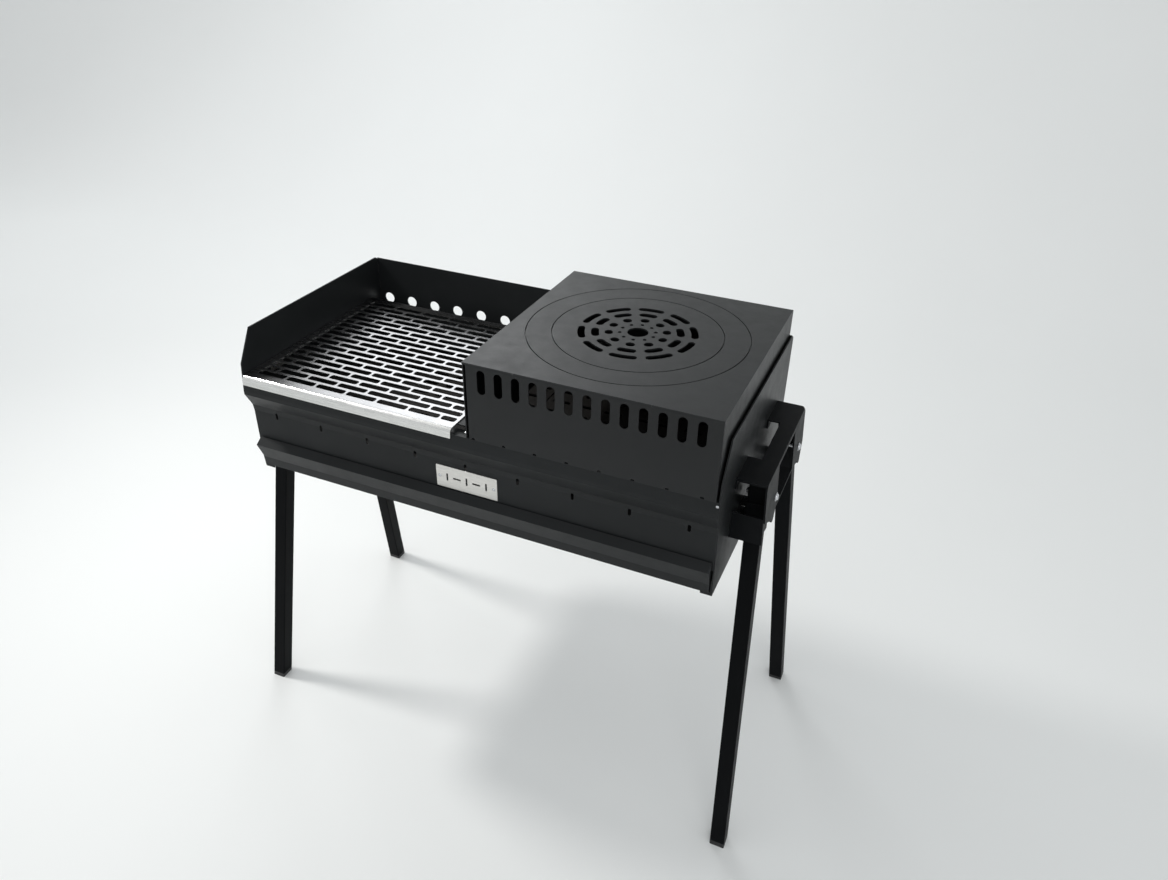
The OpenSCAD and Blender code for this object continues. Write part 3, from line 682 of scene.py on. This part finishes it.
def makeBracketWelds(s):
    # short beads that hold the arms and the front cheek of each bracket to its end wall
    bm = bmesh.new()
    for node, side in (("handle_bracket_left", -1), ("handle_bracket_right", 1)):
        low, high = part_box(node)
        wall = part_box("end_wall_right")[1].x * side
        under = high.z - s["underRim"]
        x = wall + side * 0.0008
        starts = [low.y + a for a in s["armBeads"]]
        starts += [high.y - a - s["armBead"] for a in reversed(s["armBeads"])]
        for y in starts:
            weldBead(bm, Vector((x, y, under)), Vector((x, y + s["armBead"], under)), s)
        x = wall + side * 0.0006
        front = low.y + 0.0030
        for z in (low.z + a for a in s["cheekBeads"]):
            weldBead(bm, Vector((x, front, z)), Vector((x, front, z + s["cheekBead"])), s)
    addPiece("bracketWelds", bm, "bracket_black", "fire_box", 60)


def makeSocketWelds(s):
    # beads where the stand-offs of the four leg sockets meet the end walls
    bm = bmesh.new()
    for node in (f"leg_socket_{a}_{b}" for a in ("front", "back") for b in ("left", "right")):
        side = 1 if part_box(node)[1].x > 0 else -1
        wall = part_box("end_wall_right")[1].x * side
        near = [v.co for v in cadNodes[node].data.vertices if abs(v.co.x - wall) < 0.0003]
        foot = middleOf(near)
        half = (max(p.y for p in near) - min(p.y for p in near)) / 2
        x = wall + side * 0.0007
        starts = (foot.y - half + s["socketInset"], foot.y + half - s["socketInset"] - s["socketBead"])
        for z in (min(p.z for p in near), max(p.z for p in near)):
            for y in starts:
                weldBead(bm, Vector((x, y, z)), Vector((x, y + s["socketBead"], z)), s)
    addPiece("socketWelds", bm, "bracket_black", "fire_box", 60)


def makeBodyWelds(s):
    # stitches inside the fire box, between the end walls and the back panel
    bm = bmesh.new()
    front, back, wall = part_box("front_panel"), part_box("back_panel"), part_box("end_wall_right")
    drawer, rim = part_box("ash_drawer"), front[1].z
    inside = wall[0].x - 0.0004
    y = back[0].y - 0.0006
    stitches = ((drawer[1].z + 0.012, 0.018), (rim - 0.060, 0.018),
                (rim + 0.020, 0.014), (rim + 0.052, 0.014))
    for x in (-inside, inside):
        for z, length in stitches:
            weldBead(bm, Vector((x, y, z)), Vector((x, y, z + length)), s)
    addPiece("bodyWelds", bm, "body_black", "fire_box", 60)


nubSettings = {
    "radius": 0.0022,
    "rise": 0.0011,
    "alongShares": (0.215, 0.745),    # places along the stove box
    "inset": 0.0014,
    "sunk": 0.0012,
    "lean": 0.55,                     # how far they lean outwards over the fold
}


def makeStoveNubs(s):
    # the small tack welds along the front and back folds of the stove box
    bm = bmesh.new()
    low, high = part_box("stove_top")
    rows = [(0, s["rise"], "round"), (s["radius"] * 0.45, s["rise"] * 0.9, "round"),
            (s["radius"] * 0.8, s["rise"] * 0.55, "round"), (s["radius"], 0, "round"), (0, 0, "round")]
    for share in s["alongShares"]:
        x = low.x + share * (high.x - low.x)
        for y, lean in ((low.y + s["inset"], -s["lean"]), (high.y - s["inset"], s["lean"])):
            out = Vector((0, lean, 1)).normalized()
            turned(bm, rows, Vector((x, y, high.z - s["sunk"])), out, 16)
    addPiece("stoveNubs", bm, "stove_black", "stove_box", 60)


makeBracketWelds(weldSettings)
makeSocketWelds(weldSettings)
makeBodyWelds(weldSettings)
makeStoveNubs(nubSettings)
print("welds made")


# folded hem of the ash drawer's pull

hemSettings = {"radius": 0.0011, "endGap": 0.0025, "steps": 24, "endShare": 0.55, "back": 0.0006,
               "under": 0.0010}


def makeDrawerHem(s):
    low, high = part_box("ash_drawer")
    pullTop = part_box("drawer_end_left")[1].z
    edge = [v.co for v in cadNodes["ash_drawer"].data.vertices if v.co.y < low.y + 0.012]
    top = max(p.z for p in edge)
    lip = middleOf([p for p in edge if p.z > top - 0.0008])
    bm = bmesh.new()
    length = high.x - low.x - 2 * s["endGap"]
    points = [Vector((low.x + s["endGap"] + k * length / s["steps"], lip.y + s["back"],
                      min(top, pullTop) - s["under"])) for k in range(s["steps"] + 1)]
    tubeAlong(bm, points, lambda i: s["radius"] * (s["endShare"] if i in (0, s["steps"]) else 1), 12)
    addPiece("drawerHem", bm, "body_black", "ash_drawer", 60)


makeDrawerHem(hemSettings)
print("drawer hem made")


# room and light

roomSettings = {
    "width": 16,
    "front": -7,
    "back": 3.4,
    "bend": 1.6,
    "bendSteps": 16,
    "height": 6,
    "paint": (0.86, 0.87, 0.865),
    "sky": (0.965, 0.99, 1.0),
    "skyStrength": 0.64,
}


def makeRoom(s):
    outline = [(s["front"], 0), (s["back"] - s["bend"], 0)]
    for k in range(1, s["bendSteps"] + 1):
        a = math.pi / 2 * k / s["bendSteps"]
        outline.append((s["back"] - s["bend"] + s["bend"] * math.sin(a), s["bend"] * (1 - math.cos(a))))
    outline.append((s["back"], s["height"]))
    bm = bmesh.new()
    half = s["width"] / 2
    rows = [[bm.verts.new((x, y, z)) for y, z in outline] for x in (-half, half)]
    for k in range(len(outline) - 1):
        bm.faces.new((rows[0][k], rows[1][k], rows[1][k + 1], rows[0][k + 1]))
    mesh = bpy.data.meshes.new("backdrop")
    bm.to_mesh(mesh)
    bm.free()
    mesh.shade_smooth()
    t = NodeTree("backdrop paint")
    t.join(t.ramp(t.noise(1.3, 2), [(0.3, tuple(c * 0.985 for c in s["paint"])), (0.7, s["paint"])]),
           t.shader.inputs["Base Color"])
    t.join(t.spread(t.noise(9, 2), 0.75, 0.85), t.shader.inputs["Roughness"])
    t.shader.inputs["Specular IOR Level"].default_value = 0.2
    mesh.materials.append(t.material)
    backdrop = bpy.data.objects.new("backdrop", mesh)
    scene.collection.objects.link(backdrop)
    world = bpy.data.worlds.new("studio")
    world.use_nodes = True
    sky = world.node_tree.nodes["Background"]
    sky.inputs["Color"].default_value = (*s["sky"], 1)
    sky.inputs["Strength"].default_value = s["skyStrength"]
    scene.world = world


lightSettings = [
    {"name": "key", "at": (-1.25, -0.06, 1.68), "towards": (0.9, 0, 0), "size": 0.24,
     "power": 15.5, "colour": (1.0, 0.985, 0.96)},
    {"name": "back softbox", "at": (-2.0, 2.8, 2.95), "towards": (0.1, 0, 0.7), "size": 1.7,
     "power": 27, "colour": (0.97, 0.985, 1.0)},
    {"name": "backdrop wash", "at": (-2.6, 0.9, 3.0), "towards": (-3.8, 3.0, 0.4), "size": 1.2,
     "power": 18, "colour": (1.0, 1.0, 1.0)},
    {"name": "front fill", "at": (1.6, -2.6, 2.6), "towards": (0.5, -0.4, 0), "size": 1.6,
     "power": 16, "colour": (1.0, 1.0, 1.0)},
]


def makeLight(s):
    data = bpy.data.lights.new(s["name"], "AREA")
    data.shape = "DISK"
    data.size = s["size"]
    data.energy = s["power"]
    data.color = s["colour"]
    lamp = bpy.data.objects.new(s["name"], data)
    lamp.location = s["at"]
    lamp.rotation_euler = (Vector(s["towards"]) - Vector(s["at"])).to_track_quat("-Z", "Y").to_euler()
    lamp.visible_camera = False
    scene.collection.objects.link(lamp)


makeRoom(roomSettings)
for settings in lightSettings:
    makeLight(settings)
print("room and lights made")
